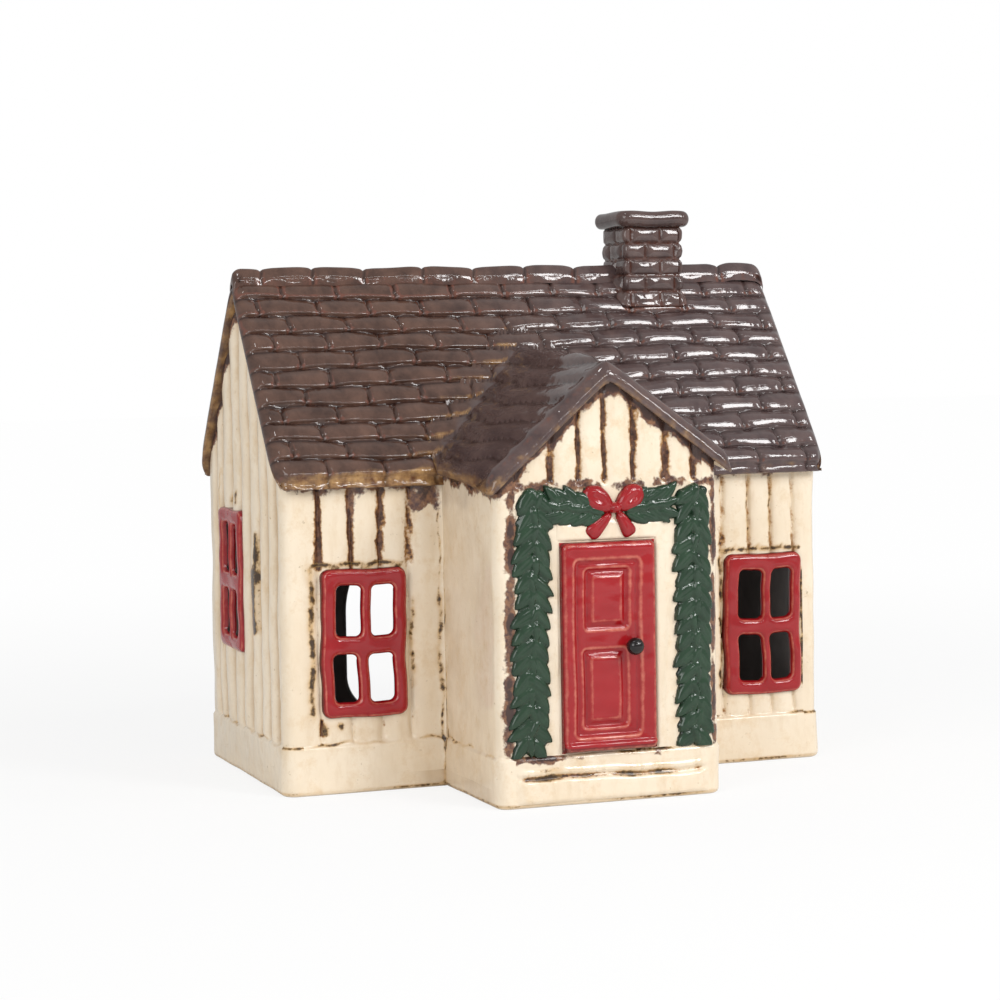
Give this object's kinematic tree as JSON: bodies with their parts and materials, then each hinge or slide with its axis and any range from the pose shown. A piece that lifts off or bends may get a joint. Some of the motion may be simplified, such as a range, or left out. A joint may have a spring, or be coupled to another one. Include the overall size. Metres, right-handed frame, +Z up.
{
  "type": "tealight house",
  "caption": "Glazed ceramic cottage with a porch and chimney, hollow, with cut-out windows and a rear opening for a tealight.",
  "frame": {"origin": "on the resting face, at the middle of the house's width and of the depth from the porch front to the rear wall", "axes": "+X to the right of someone facing the door, +Y from the door to the rear opening, +Z up"},
  "size_m": [0.1544, 0.1243, 0.1493],
  "materials": {
    "cream_glaze": "glossy cream glaze on cast earthenware",
    "brown_glaze": "glossy dark brown glaze breaking to red and amber on edges",
    "red_glaze": "glossy red glaze, lighter on raised edges",
    "green_glaze": "glossy dark green glaze over moulded needles",
    "black_glaze": "glossy black glaze",
    "tealight_aluminium": "thin drawn aluminium, bright",
    "wax": "cast white wax, soft sheen",
    "cotton_wick": "braided cotton",
    "tinned_steel": "thin tinned steel"
  },
  "bodies": {
    "house": {"base_slab": "cream_glaze", "left_gable_wall": "cream_glaze", "right_gable_wall": "cream_glaze", "front_left_wall": "cream_glaze", "front_right_wall": "cream_glaze", "rear_wall": "cream_glaze", "porch_left_wall": "cream_glaze", "porch_right_wall": "cream_glaze", "porch_front_wall": "cream_glaze", "front_roof_slope": "brown_glaze", "rear_roof_slope": "brown_glaze", "ridge_tiles": "brown_glaze", "porch_roof_left": "brown_glaze", "porch_roof_right": "brown_glaze", "chimney_stack": "brown_glaze", "chimney_cap": "brown_glaze", "front_left_window": "red_glaze", "front_right_window": "red_glaze", "gable_window": "red_glaze", "door_surround": "cream_glaze", "door_leaf": "red_glaze", "door_knob": "black_glaze", "garland_left": "green_glaze", "garland_right": "green_glaze", "garland_left_swag": "green_glaze", "garland_right_swag": "green_glaze", "bow": "red_glaze", "door_step": "cream_glaze"},
    "tealight": {"tealight_cup": "tealight_aluminium", "tealight_wax": "wax", "wick_sustainer": "tinned_steel", "tealight_wick": "cotton_wick"}
  },
  "joints": [
    {"name": "tealight_draw_out", "type": "slide", "parent": "house", "child": "tealight", "axis": [0, 0.9511, 0.309], "range_m": [0, 0.075]}
  ]
}
